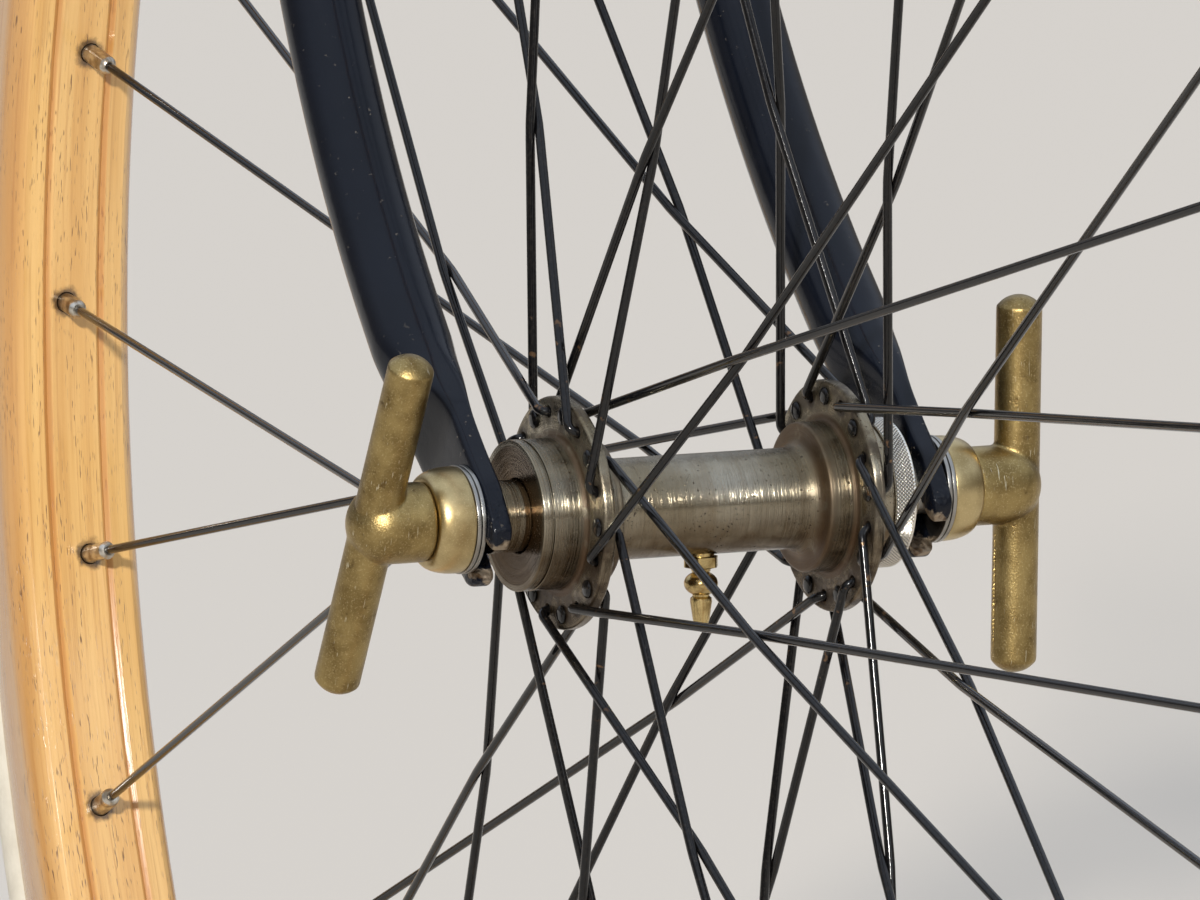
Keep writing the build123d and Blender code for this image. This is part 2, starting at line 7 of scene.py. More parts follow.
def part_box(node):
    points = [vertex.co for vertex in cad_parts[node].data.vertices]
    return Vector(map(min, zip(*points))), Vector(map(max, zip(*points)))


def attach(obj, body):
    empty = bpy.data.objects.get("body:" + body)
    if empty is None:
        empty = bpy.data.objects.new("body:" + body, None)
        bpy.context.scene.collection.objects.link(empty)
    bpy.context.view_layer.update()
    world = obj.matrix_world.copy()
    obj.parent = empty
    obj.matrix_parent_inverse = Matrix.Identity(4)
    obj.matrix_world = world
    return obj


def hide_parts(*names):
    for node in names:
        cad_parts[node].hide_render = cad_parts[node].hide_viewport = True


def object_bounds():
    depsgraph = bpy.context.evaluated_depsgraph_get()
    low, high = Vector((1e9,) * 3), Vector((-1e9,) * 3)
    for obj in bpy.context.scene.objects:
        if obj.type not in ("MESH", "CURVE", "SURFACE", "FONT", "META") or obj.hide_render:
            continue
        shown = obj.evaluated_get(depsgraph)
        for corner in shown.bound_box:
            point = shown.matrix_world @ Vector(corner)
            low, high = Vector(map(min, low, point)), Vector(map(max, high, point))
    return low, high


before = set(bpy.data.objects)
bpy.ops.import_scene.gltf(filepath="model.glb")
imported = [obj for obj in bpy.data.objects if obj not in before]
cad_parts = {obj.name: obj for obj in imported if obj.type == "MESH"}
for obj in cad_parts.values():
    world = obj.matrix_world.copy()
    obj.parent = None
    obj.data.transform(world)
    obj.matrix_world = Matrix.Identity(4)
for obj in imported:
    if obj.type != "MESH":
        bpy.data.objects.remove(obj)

cad_box = [list(corner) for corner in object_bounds()]

# Studio: a pale matt floor that runs far behind the wheel, a key lamp like a hazy sun over
# the camera's left shoulder, a weak lamp at its right, and a dome that is pale overhead.
mm = 0.001
hub = np.array(sum(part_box("axle"), Vector()) / 2)


class Wire:
    """A value that varies over a surface. Python's operators on it add Math nodes."""

    def __init__(self, nodes, socket):
        self.nodes = nodes
        self.socket = socket

    def __add__(self, other):
        return self.nodes.maths("ADD", self, other)

    def __sub__(self, other):
        return self.nodes.maths("SUBTRACT", self, other)

    def __rsub__(self, other):
        return self.nodes.maths("SUBTRACT", other, self)

    def __mul__(self, other):
        return self.nodes.maths("MULTIPLY", self, other)

    def __truediv__(self, other):
        return self.nodes.maths("DIVIDE", self, other)

    def __or__(self, other):
        """The larger of the two."""
        return self.nodes.maths("MAXIMUM", self, other)

    def __and__(self, other):
        """The smaller of the two."""
        return self.nodes.maths("MINIMUM", self, other)

    def __abs__(self):
        return self.nodes.maths("ABSOLUTE", self)

    __radd__ = __add__
    __rmul__ = __mul__

    def hypot(self, other):
        """The root of the sum of the two squares."""
        return self.nodes.maths("SQRT", self * self + other * other)

    def rise(self, low, high):
        """0 below low, 1 above high, smooth between; high may be the lower one."""
        start, end = (0.0, 1.0) if low < high else (1.0, 0.0)
        given = {"Value": self, "From Min": min(low, high), "From Max": max(low, high),
                 "To Min": start, "To Max": end}
        return self.nodes.node("MapRange", given, interpolation_type="SMOOTHSTEP")


class Nodes:
    """The nodes of a material or of the world."""

    def __init__(self, tree):
        self.tree = tree

    def node(self, kind, given=(), out=0, stops=(), **settings):
        """Adds a node: its settings and ramp stops first, then values or wires by socket."""
        made = self.tree.nodes.new("ShaderNode" + kind)
        for key, value in settings.items():
            setattr(made, key, value)
        if stops:
            ramp = made.color_ramp.elements
            for element, (place, colour) in zip(ramp[:], (stops[0], stops[-1])):
                element.position = place
                element.color = colour
            for place, colour in stops[1:-1]:
                ramp.new(place).color = colour
        for key, value in dict(given).items():
            if isinstance(value, Wire):
                self.tree.links.new(value.socket, made.inputs[key])
            else:
                made.inputs[key].default_value = value
        return Wire(self, made.outputs[out])

    def maths(self, operation, *values):
        return self.node("Math", dict(enumerate(values)), operation=operation)

    def vector(self, *values):
        return self.node("CombineXYZ", dict(enumerate(values)))


class Finish(Nodes):
    """A Principled material. Numbers that are the same all over go straight on its sockets."""

    def __init__(self, name, **fixed):
        self.material = bpy.data.materials.new(name)
        self.material.use_nodes = True
        super().__init__(self.material.node_tree)
        self.shader = self.tree.nodes["Principled BSDF"]
        for socket, value in fixed.items():
            self.shader.inputs[socket.replace("_", " ")].default_value = value

    def place(self, centre=(0, 0, 0), stretch=(1, 1, 1)):
        """Object coordinates measured from a point, stretched along each axis."""
        where = self.node("TexCoord", out="Object")
        shift = [-c * s for c, s in zip(centre, stretch)]
        return self.node("Mapping", {"Vector": where, "Location": shift, "Scale": stretch})

    def measure(self, centre=(0, 0, 0)):
        """x, y and z from a point, in millimetres."""
        parts = self.node("SeparateXYZ", {0: self.place(centre, 3 * [1 / mm])}).socket.node.outputs
        return [Wire(self, part) for part in parts]

    def grain(self, vector, scale, detail, rough=0.5):
        """Noise from 0 to 1 round a middle of 0.5."""
        return self.node("TexNoise", {"Vector": vector, "Scale": scale, "Detail": detail,
                                      "Roughness": rough})

    def tint(self, share, one, two):
        """Colour one where share is 0, colour two where it is 1. The Mix node's colours are
        its inputs 6 and 7 and its output 2."""
        return self.node("Mix", {0: share, 6: one, 7: two}, out=2, data_type="RGBA")

    def relief(self, height, depth, under=None):
        """Bump of a height from 0 to 1 and a depth in metres, over another bump if given."""
        given = {"Height": height, "Distance": depth}
        if under is not None:
            given["Normal"] = under
        return self.node("Bump", given)

    def shade(self, **wires):
        """Feeds the shader's sockets."""
        for socket, wire in wires.items():
            self.tree.links.new(wire.socket, self.shader.inputs[socket.replace("_", " ")])


def paint(red, green, blue):
    """A colour as it looks on a screen, 0 to 255, as the linear values Blender takes."""
    shown = np.array([red, green, blue]) / 255
    linear = np.where(shown > 0.04045, ((shown + 0.055) / 1.055) ** 2.4, shown / 12.92)
    return (*linear.tolist(), 1.0)


def full_turn(steps):
    """Angles round a whole turn, in equal steps."""
    return np.linspace(0, 2 * np.pi, steps, endpoint=False)


def put(name, data):
    """A new object in the scene."""
    made = bpy.data.objects.new(name, data)
    bpy.context.scene.collection.objects.link(made)
    return made


def lamp(name, kind, place, energy, size, colour):
    """A lamp that points at the hub: an area lamp of that width, or a sun of that angle."""
    made = put(name, bpy.data.lights.new(name, kind))
    if kind == "AREA":
        made.data.shape = "DISK"
        made.data.size = size
    else:
        made.data.angle = size
    made.data.energy = energy
    made.data.color = colour
    made.location = Vector(hub) + Vector(place)
    made.rotation_euler = (-Vector(place)).to_track_quat("-Z", "Y").to_euler()


# The camera stands 3 m from the hub, 64.7 degrees round from the wheel's right side towards
# its front and a little above it. The focal length and the hub's place in the picture, right
# of and below the middle, are in pixels of a picture 1200 wide.
azimuth, elevation, roll = np.radians((64.68, 7.32, -0.26))
stand_off = 3.0
picture_width, focal, hub_right, hub_below = 1200, 15840, 96.3, 54
sensor_width = 36
back = np.array([np.sin(azimuth) * np.cos(elevation), -np.cos(azimuth) * np.cos(elevation),
                 np.sin(elevation)])
level = np.array([np.cos(azimuth), np.sin(azimuth), 0])
upward = np.cross(back, level)
across = level * np.cos(roll) + upward * np.sin(roll)
turned_back = back + across * (hub_right / focal) - np.cross(back, across) * (hub_below / focal)
turned_back /= np.linalg.norm(turned_back)
across -= turned_back * (across @ turned_back)
across /= np.linalg.norm(across)
camera = put("camera", bpy.data.cameras.new("camera"))
camera.data.sensor_width = sensor_width
camera.data.lens = focal / picture_width * sensor_width
camera.data.clip_end = 100
axes = np.stack([across, np.cross(turned_back, across), turned_back], 1)
camera.matrix_world = Matrix(axes).to_4x4()
camera.location = hub + back * stand_off
bpy.context.scene.camera = camera
bpy.context.scene.view_settings.view_transform = "Standard"

lamp("key_lamp", "SUN", (0.79, -0.50, 0.33), 2.9, np.radians(3), (1.0, 0.97, 0.92))
lamp("fill_lamp", "AREA", level * 1.1 + upward * 0.5 + back * 1.6, 4, 1.2, (0.9, 0.95, 1.0))

world = bpy.data.worlds.new("studio")
bpy.context.scene.world = world
world.use_nodes = True
sky = Nodes(world.node_tree)
climb = sky.node("SeparateXYZ", {0: sky.node("TexCoord", out="Generated")}, out="Z")
dome = sky.node("ValToRGB", {0: climb * 0.5 + 0.5}, stops=[
    (0.5, (0.15, 0.13, 0.11, 1)), (0.6, (0.26, 0.25, 0.24, 1)),
    (0.76, (0.70, 0.77, 0.90, 1)), (1.0, (0.84, 0.94, 1.10, 1))])
sky.tree.links.new(dome.socket, sky.tree.nodes["Background"].inputs["Color"])

ground = Finish("floor_plain", Roughness=0.9, Specular_IOR_Level=0.2, Base_Color=paint(214, 204, 190))
floor_r, floor_z = 80, cad_box[0][2]
turn = full_turn(64)
edge = np.stack([floor_r * np.cos(turn), floor_r * np.sin(turn), floor_z + 0 * turn], 1)
floor_mesh = bpy.data.meshes.new("floor")
floor_mesh.from_pydata(edge.tolist(), [], [list(range(len(edge)))])
floor = put("floor", floor_mesh)
floor.data.materials.append(ground.material)


# Steerer: a plain steel tube, turned down where it is brazed into the crown and cut with
# a fine thread at its top for the headset's nut.
def skin(name, sheets, finish, body, stands_for="", sharp=38, closed_along=False):
    """A closed mesh from sheets of points shaped (sheets, along, round, 3). Round always
    closes on itself; along ends in poles, or closes too. Points at one place are merged."""
    sheets = np.asarray(sheets, float)
    if sheets.ndim == 3:
        sheets = sheets[None]
    copies, along, around, _ = sheets.shape
    rows = np.arange(along if closed_along else along - 1)
    i, j = np.meshgrid(rows, np.arange(around), indexing="ij")
    next_i, next_j = (i + 1) % along, (j + 1) % around
    quads = np.stack([i * around + j, i * around + next_j,
                      next_i * around + next_j, next_i * around + j], -1).reshape(-1, 4)
    faces = quads + (np.arange(copies) * along * around)[:, None, None]
    raw = bpy.data.meshes.new(name)
    raw.from_pydata(sheets.reshape(-1, 3).tolist(), [], faces.reshape(-1, 4).tolist())
    work = bmesh.new()
    work.from_mesh(raw)
    bmesh.ops.remove_doubles(work, verts=work.verts, dist=2e-7)
    bmesh.ops.recalc_face_normals(work, faces=work.faces)
    work.to_mesh(raw)
    work.free()
    raw.shade_smooth()
    raw.set_sharp_from_angle(angle=np.radians(sharp))
    made = put(name, raw)
    made.data.materials.append(finish.material)
    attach(made, body)
    if stands_for:
        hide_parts(stands_for)
    return made


def dress(finish, *nodes):
    """Gives CAD nodes, whose shape stays, their finish."""
    for node in nodes:
        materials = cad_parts[node].data.materials
        materials.clear()
        materials.append(finish.material)


def wrap(line, one, two, reach_one, reach_two):
    """Rings of points round a line: each is the line's point, plus direction one times its
    first reach, plus direction two times its second. Reaches are shaped (along, round)."""
    return (line[..., None, :] + reach_one[..., None] * one[..., None, :]
            + reach_two[..., None] * two[..., None, :])


lean = np.radians(21)
steel = Finish("bare_steel")
where = steel.place()
x, _, z = steel.measure()
climb = z * np.cos(lean) - x * np.sin(lean)         # up the steerer, from the race seat
# its foot is painted with the crown that it is brazed into
painted = climb.rise(-0.1, -0.4) * climb.rise(-50, -40)
cloud = steel.grain(where, 90, 5)
bright = steel.tint(cloud.rise(0.35, 0.8), paint(166, 164, 159), paint(128, 120, 108))
steel.shade(Base_Color=steel.tint(painted, bright, (0.003, 0.004, 0.008, 1)),
            Metallic=1 - painted,
            Roughness=cloud * 0.35 + 0.16,
            Normal=steel.relief(steel.grain(where, 1400, 4), 0.00002))

up_steer = np.array([-np.sin(lean), 0, np.cos(lean)])
fore_steer = np.array([np.cos(lean), 0, np.sin(lean)])
side_way = np.array([0, 1, 0])
steerer_r, spigot_r, stem_bore_r = 12.7, 12.4, 11.1
spigot_deep, thread_foot, steerer_top = 28, 125, 162
thread_pitch, thread_deep, thread_fade, thread_step = 1.058, 0.42, 4, 0.14
turn = full_turn(72)
up = np.concatenate([[-spigot_deep, -spigot_deep, -0.02, 0, thread_foot - 1],
                     np.arange(thread_foot + 1, steerer_top - 0.8, thread_step), [steerer_top]])
saw = np.abs(((up[:, None] / thread_pitch - turn / (2 * np.pi)) % 1) * 2 - 1)
fade = np.clip((up - thread_foot) / thread_fade, 0, 1)[:, None]
outside = np.where(up < 0, spigot_r, steerer_r)[:, None] - fade * saw * thread_deep
outside[0] = spigot_r - 0.8
outside[-1] = steerer_r - 0.6
up_inside = [steerer_top, steerer_top - 0.4, 0.4 - spigot_deep, -spigot_deep]
inside = np.array([stem_bore_r + 0.3, stem_bore_r, stem_bore_r, stem_bore_r + 0.3])
wall = np.concatenate([outside, inside[:, None] + 0 * turn])
line = np.concatenate([up, up_inside])[:, None] * up_steer
tube = wrap(line, fore_steer, side_way, wall * np.cos(turn), wall * np.sin(turn)) * mm
skin("steerer_tube", tube, steel, "fork", "steerer", closed_along=True)

# Crown and fork blades: a cast crown with a lug point at each side of each socket, and
# tapered steel blades bent forward, their ends hammered flat, slotted and filed, all
# under a very dark blue gloss enamel that has chipped at the prongs' tips.
fork_length, socket_cap = 369.998, 5                # from the crown's flat top
blade_r, blade_top_r, blade_taper, blade_top_y = 7.75, 12, 160, 35.4
bend, bend_radius, straight_length = np.radians(23), 270, 47
squash_from, squash_length = 42, 27                 # above the axle
end_lean, end_y = np.radians(44), 46
end_half_width, end_half_thick, end_swell, end_swell_long = 9.75, 2.3, 0.6, 6
tip_reach, tip_round, tip_half_width, tip_thinning = 11.2, 3, 8.3, 1.2
slot_half, cut_past, cut_aside = 4.8, 25, 8
edge_break = 0.3
end_down = np.array([np.sin(end_lean), 0, -np.cos(end_lean)])
end_fore = np.array([np.cos(end_lean), 0, np.sin(end_lean)])

enamel = Finish("fork_enamel", Specular_IOR_Level=0.18, Coat_Weight=0.1, Coat_Roughness=0.04)
where = enamel.place()
x, _, z = enamel.measure(hub + (tip_reach + 0.3) * mm * end_down)
from_tips = x.hypot(z)
dust = enamel.grain(where, 900, 3).rise(0.68, 0.76) * enamel.grain(where, 60, 2).rise(0.35, 0.7)
chip = (from_tips + (enamel.grain(where, 300, 4) - 0.5) * 8).rise(6.2, 5.2)
drops = enamel.grain(where, 520, 1) * from_tips.rise(16, 11)
bare = enamel.tint(enamel.grain(where, 500, 3).rise(0.4, 0.7), paint(165, 150, 130), paint(90, 70, 50))
shown = enamel.tint(enamel.grain(where, 40, 3), (0.002, 0.0025, 0.0045, 1), (0.005, 0.007, 0.013, 1))
shown = enamel.tint(dust * 0.6, shown, paint(120, 112, 100))
enamel.shade(Base_Color=enamel.tint(chip, shown, bare),
             Metallic=chip * 0.9,
             Roughness=enamel.grain(where, 150, 4) * 0.22 + 0.12 + chip * 0.25,
             Normal=enamel.relief(enamel.grain(where, 260, 3), 0.00008,
                                  enamel.relief(dust + chip * -2 + drops * 9, 0.00006)))
dress(enamel, "fork_crown")


def blade(side):
    """One blade as a tube of superellipses: |x/a|^n + |y/b|^n = 1, carried from the prongs'
    tips, up the flat end and its squash, round the bend and up the taper to the crown."""
    base = hub / mm + side_way * side * end_y
    # the flat end and the squash, by distance above the axle
    flat_to = squash_from - squash_length
    tip_curve = 1 - np.cos(np.linspace(0.15, np.pi / 2, 9))
    above = np.concatenate([[-tip_reach], tip_round * tip_curve - tip_reach,
                            np.linspace(-7, flat_to, 24), np.linspace(flat_to + 0.5, squash_from, 48)])
    low = base - above[:, None] * end_down
    eased = np.clip((squash_from - above) / squash_length, 0, 1)
    eased = eased * eased * (3 - 2 * eased)
    a = (blade_r + (end_half_width - blade_r) * eased
         + end_swell * np.exp(-(above / end_swell_long) ** 2))
    eye_half_width = end_half_width + end_swell
    to_tip = np.clip(-above / tip_reach, 0, 1) ** 1.3
    a = np.where(above < 0, eye_half_width + (tip_half_width - eye_half_width) * to_tip, a)
    corner = np.clip((tip_round - tip_reach - above) / tip_round, 0, 1)
    corner = 1 - np.sqrt(1 - corner ** 2)
    a -= tip_round * corner
    b = blade_r + (end_half_thick - blade_r) * eased - tip_thinning * corner
    power = 2 + 6 * eased ** 2
    # the bend and the taper, in the blade's own leaning plane
    toe = np.arctan2(end_y - blade_top_y, fork_length - squash_from * np.cos(bend))
    up = up_steer * np.cos(toe) - side_way * side * np.sin(toe)
    straight = straight_length - squash_from
    curl = bend - np.linspace(0, bend, 40)
    x = -straight * np.sin(bend) - bend_radius * (np.cos(curl) - np.cos(bend))
    y = straight * np.cos(bend) + bend_radius * (np.sin(bend) - np.sin(curl))
    arc = base - squash_from * end_down + x[:, None] * fore_steer + y[:, None] * up
    arc_way = -np.sin(curl)[:, None] * fore_steer + np.cos(curl)[:, None] * up
    bend_top = straight_length * np.cos(bend) + bend_radius * np.sin(bend)
    rise = fork_length - socket_cap - bend_top
    far = np.concatenate([np.linspace(4, blade_taper, 40), [rise - edge_break, rise]])
    top = arc[-1] + far[:, None] * up
    top_r = blade_r + (blade_top_r - blade_r) * np.clip(far / blade_taper, 0, 1)
    top_r[-1] -= edge_break
    # the whole blade
    line = np.concatenate([low, arc, top])
    ways = np.concatenate([0 * low - end_down, arc_way, 0 * top + up])
    round_r = np.concatenate([0 * curl + blade_r, top_r])
    a = np.concatenate([a, round_r])[:, None]
    b = np.concatenate([b, round_r])[:, None]
    power = np.concatenate([power, 0 * round_r + 2])[:, None]
    fore = np.cross(side_way, ways)
    fore /= np.linalg.norm(fore, axis=1)[:, None]
    phi = full_turn(96)
    size = (np.abs(np.cos(phi)) ** power + np.abs(np.sin(phi)) ** power) ** (-1 / power)
    rows = wrap(line, fore, np.cross(ways, fore), a * size * np.cos(phi), b * size * np.sin(phi))
    return np.concatenate([line[:1, None] + 0 * rows[:1], rows, line[-1:, None] + 0 * rows[-1:]]) * mm


def cutter(side):
    """The slot's cutter: a flat-sided bar with a round end at the axle."""
    phi = np.linspace(np.pi / 2, 3 * np.pi / 2, 33)
    down = np.concatenate([slot_half * np.cos(phi), [cut_past, cut_past]])
    out = np.concatenate([slot_half * np.sin(phi), [-slot_half, slot_half]])
    line = hub / mm + down[:, None] * end_down + out[:, None] * end_fore
    middle = line.mean(0) + 0 * line
    low, high = (side_way * side * (end_y + aside) for aside in (-cut_aside, cut_aside))
    return np.stack([middle + low, line + low, line + high, middle + high]) * mm


def settle(piece):
    """Keeps what the modifiers make of a piece as its mesh."""
    settled = bpy.data.meshes.new_from_object(piece.evaluated_get(bpy.context.evaluated_depsgraph_get()))
    piece.modifiers.clear()
    piece.data = settled


def carve(piece, tool, bevel):
    """Cuts the tool out of the piece and breaks the new edges."""
    cut = piece.modifiers.new("cut", "BOOLEAN")
    cut.object = tool
    cut.operation = "DIFFERENCE"
    soft = piece.modifiers.new("edges", "BEVEL")
    soft.width = bevel
    soft.segments = 2
    soft.limit_method = "ANGLE"
    soft.angle_limit = np.radians(40)
    settle(piece)
    bpy.data.objects.remove(tool)
    piece.data.shade_smooth()
    piece.data.set_sharp_from_angle(angle=np.radians(38))


for side, name in ((-1, "right"), (1, "left")):
    made = skin("fork_blade_skin_" + name, blade(side), enamel, "fork", "fork_blade_" + name)
    carve(made, skin("cutter", cutter(side), enamel, "fork"), 0.00025)

# Axle hardware: a steel axle, turned cones, pairs of thin steel washers and a thick domed
# bronze washer at each side, all turned, then nickelled or left bare. The hub and its cups
# have the cones' worn nickel, so its stains know the hub's corners and spoke holes.
barrel_r, shoulder_y, shoulder_r = 9.65, 21.5, 14.35
flange_in, flange_out, flange_mid, flange_r = 27.0, 29.4, 28.2, 22.15
hole_circle_r, hole_step = 19.2, 20
first_hole = {"right": 18.5, "left": 8.5}
half_step = np.radians(hole_step / 2)


def nearest_hole(finish, turn, first, radius):
    """Distance round a circle from the nearest of its 18 holes."""
    return finish.maths("WRAP", turn - np.radians(first), half_step, -half_step) * radius


nickel = Finish("hub_nickel", Metallic=1.0)
where = nickel.place(hub)
x, y, z = nickel.measure(hub)
r = x.hypot(z)
side_y = abs(y)


def corner(level, radius):
    """Distance from a ring round the axle, where dirt has gathered."""
    return (side_y - level).hypot(r - radius)


# the left flange's holes come half a step before the right one's
turn = nickel.maths("ARCTAN2", z, x) + y.rise(-1, 1) * half_step
hole = nearest_hole(nickel, turn, first_hole["right"], hole_circle_r).hypot(r - hole_circle_r)
knurled = y.rise(35.2, 35.5) * r.rise(13.7, 13.9)
lines = nickel.grain(nickel.vector(r * 9, y * 9, z * 0.012), 1.0, 2) * (1 - knurled)
bands = nickel.grain(nickel.vector(x * 0.006, y * 0.26, z * 0.006), 1.0, 2)
cloud = nickel.grain(where, 45, 5)
patchy = nickel.grain(where, 260, 4)
pits = nickel.grain(where, 1700, 2).rise(0.64, 0.71) * nickel.grain(where, 120, 2).rise(0.38, 0.58)
root = corner(shoulder_y - 0.1, 12.5).rise(4.0, 0.8)
root = root | corner(flange_in, 14.8).rise(1.6, 0.5) | corner(flange_out, 14.8).rise(1.7, 0.5)
flange = abs(side_y - flange_mid).rise(2.2, 1.4) * r.rise(14.6, 16.0)
holes = hole.rise(3.4, 1.5) * flange * patchy.rise(0.25, 0.55)
# painted reflection: the cups' dished end faces are painted a dark bronze brown
face = r.rise(13.4, 13.0) * abs(side_y - 37.8).rise(1.2, 0.6)
rust = root * patchy.rise(0.15, 0.45) * 0.9
grime = rust | holes | pits | flange * patchy.rise(0.38, 0.62) * 0.8
# painted shade: the nickel is painted darker and browner towards the hub's underside, standing in for the
# dark ground it would reflect
underside_painted_shade = z.rise(2, -7) * (patchy.rise(0.2, 0.7) * 0.25 + 0.6)
clean = nickel.tint(cloud.rise(0.3, 0.75), paint(176, 169, 152), paint(128, 115, 90))
clean = nickel.tint(bands.rise(0.45, 0.8) * 0.3, clean, paint(120, 98, 68))
# painted reflection on the cups' end faces
clean = nickel.tint(face * 0.9, clean, paint(104, 80, 50))
# painted shade towards the underside
clean = nickel.tint(underside_painted_shade, clean, paint(76, 56, 30))
# painted highlight: the knurled rim is painted lighter
clean = nickel.tint(knurled * 0.9, clean, paint(228, 224, 214))
# dirt and painted shade: the knurl's grooves are painted darker by their depth
clean = nickel.tint(knurled * r.rise(14.32, 14.18) * 0.8, clean, paint(70, 64, 56))
stained = nickel.tint(rust.rise(0.2, 0.8), paint(40, 27, 16), paint(66, 44, 21))
nickel.shade(Base_Color=nickel.tint(grime * 0.92, clean, stained),
             Roughness=cloud.rise(0.3, 0.8) * 0.08 + 0.16 + grime * 0.2,
             Metallic=1 - grime * 0.4,
             Normal=nickel.relief(lines, 0.00008, nickel.relief(pits * -1 + grime * 0.4, 0.00004)))
dress(nickel, "cone_left", "cone_right")
dress(steel, "axle")


def rounded(points, steps):
    """A profile whose corners are eased. Each point is (along, radius, cut): the corner is
    replaced by a quadratic curve that starts and ends that far from it."""
    places = np.array([p[:2] for p in points], float)
    line = []
    for k, (_, _, cut) in enumerate(points):
        if cut == 0:
            line.append(places[k][None])
            continue
        before, after = places[k - 1] - places[k], places[(k + 1) % len(points)] - places[k]
        start = places[k] + before / np.linalg.norm(before) * cut
        end = places[k] + after / np.linalg.norm(after) * cut
        t = np.linspace(0, 1, steps)[:, None]
        line.append((1 - t) ** 2 * start + 2 * t * (1 - t) * places[k] + t * t * end)
    return np.concatenate(line)


def turned(profile, sides=128):
    """A profile of (distance along the axle, radius) in millimetres, turned round the axle."""
    along, radius = np.asarray(profile, float).T[..., None]
    turn = full_turn(sides)
    return hub + np.stack([radius * np.cos(turn), along + 0 * turn, radius * np.sin(turn)], -1) * mm


bronze = Finish("cast_bronze", Metallic=1.0)
where = bronze.place()
cloud = bronze.grain(where, 140, 5, 0.6)
sand = bronze.grain(where, 2600, 3, 0.65)
hollows = bronze.grain(where, 600, 3).rise(0.62, 0.74) * cloud.rise(0.4, 0.6)
scratch = bronze.grain(bronze.place(stretch=(700, 3000, 260)), 1.0, 2).rise(0.66, 0.72)
scratch = scratch * cloud.rise(0.45, 0.62)
worn = bronze.tint(cloud.rise(0.3, 0.7), paint(168, 146, 96), paint(124, 104, 64))
# painted glints: the sand's highest grains are painted pale
worn = bronze.tint(sand.rise(0.52, 0.75) * 0.5, worn, paint(220, 200, 150))
worn = bronze.tint(hollows * 0.6, worn, paint(86, 66, 40))
bronze.shade(Base_Color=bronze.tint(scratch * 0.7, worn, paint(232, 222, 192)),
             Roughness=sand * 0.16 + 0.28 + hollows * 0.2,
             Normal=bronze.relief(sand, 0.00006, bronze.relief(cloud + hollows * -0.5, 0.00008)))

satin = Finish("turned_bronze", Metallic=1.0)
where = satin.place()
cloud = satin.grain(where, 160, 4)
sand = satin.grain(where, 3200, 3, 0.6)
worn = satin.tint(cloud.rise(0.3, 0.7), paint(196, 176, 130), paint(158, 138, 96))
# painted glints: the finest grains are painted pale
satin.shade(Base_Color=satin.tint(sand.rise(0.5, 0.8) * 0.5, worn, paint(228, 210, 164)),
            Roughness=sand * 0.12 + 0.27,
            Normal=satin.relief(sand, 0.000012))

washer_bore, washer_r, washer_groove_r = 4.65, 10.3, 9.6
low, seam, high = 48.3, 49.1, 50.1                  # from the middle plane
dome_r, dome_top_r, dome_edge, dome_high = 10.1, 7.75, 1.1, 5.7
plates = rounded([(low, washer_bore, 0.1), (low, washer_r, 0.15), (seam, washer_r, 0.15),
                  (seam, washer_groove_r, 0), (seam + 0.2, washer_groove_r, 0),
                  (seam + 0.2, washer_r, 0.15), (high, washer_r, 0.15), (high, washer_bore, 0.1)], 4)
swell = np.linspace(0, np.pi / 2, 14)[1:]
shoulder = np.stack([high + dome_edge + dome_high * np.sin(swell),
                     dome_top_r + (dome_r - dome_top_r) * np.cos(swell).clip(0) ** 0.9], 1)
dome = np.concatenate([rounded([(high + 0.05, washer_bore, 0), (high + 0.05, dome_r, 0.3),
                                (high + dome_edge, dome_r, 0)], 4),
                       shoulder, [[high + dome_edge + dome_high, washer_bore]]])
for side, name in ((-1, "right"), (1, "left")):
    skin("plate_washers_" + name, turned(plates * (side, 1)), steel, "fork",
         "plate_washer_" + name, closed_along=True)
    skin("domed_washer_skin_" + name, turned(dome * (side, 1)), satin, "fork",
         "domed_washer_" + name, closed_along=True)

# Wing nuts: sand-cast bronze, a round boss with a T bar across its closed end, the two
# run into each other with a soft fillet, the skin left as it came from the sand. The right
# nut's bar leans well forward and is a little out of square. The left one's is near upright.
boss_low, boss_straight, boss_r, boss_nose = 56.95, 65, 7.6, 7.1
bar_r, cap_high, cap_ball_r, cap_ball_in = 4.42, 2.2, 5.205, 3
skin_grain = 0.33                                   # size of the remesh's cells
# side, lean and tilt in degrees, half the bar's straight part, its distance from the middle plane
bars = {"right": (-1, 27, 1.2, 35.2, 66.95), "left": (1, 2.4, 0, 34.4, 67.7)}


def join(piece, other):
    """Adds the other object's mesh to the piece's, and removes the other object."""
    joined = bmesh.new()
    joined.from_mesh(piece.data)
    joined.from_mesh(other.data)
    joined.to_mesh(piece.data)
    joined.free()
    bpy.data.objects.remove(other)


def bar_of(half, way, one, two):
    """A round bar from its middle, each end a shallow cap cut from a ball: its radius there
    is the root of the ball's radius squared less the distance from the ball's centre squared."""
    cap = half + cap_high * np.sin(np.linspace(0.02, np.pi / 2, 14))
    t = np.concatenate([-cap[::-1], np.linspace(-half, half, 120), cap])
    past = np.abs(t) - half
    ball = np.sqrt(np.maximum(cap_ball_r ** 2 - (past + cap_ball_in) ** 2, 0)) * 0.999
    radius = np.where(past > 0, ball, bar_r)[:, None]
    phi = full_turn(96)
    return wrap(t[:, None] * way, one, two, radius * np.cos(phi), radius * np.sin(phi))


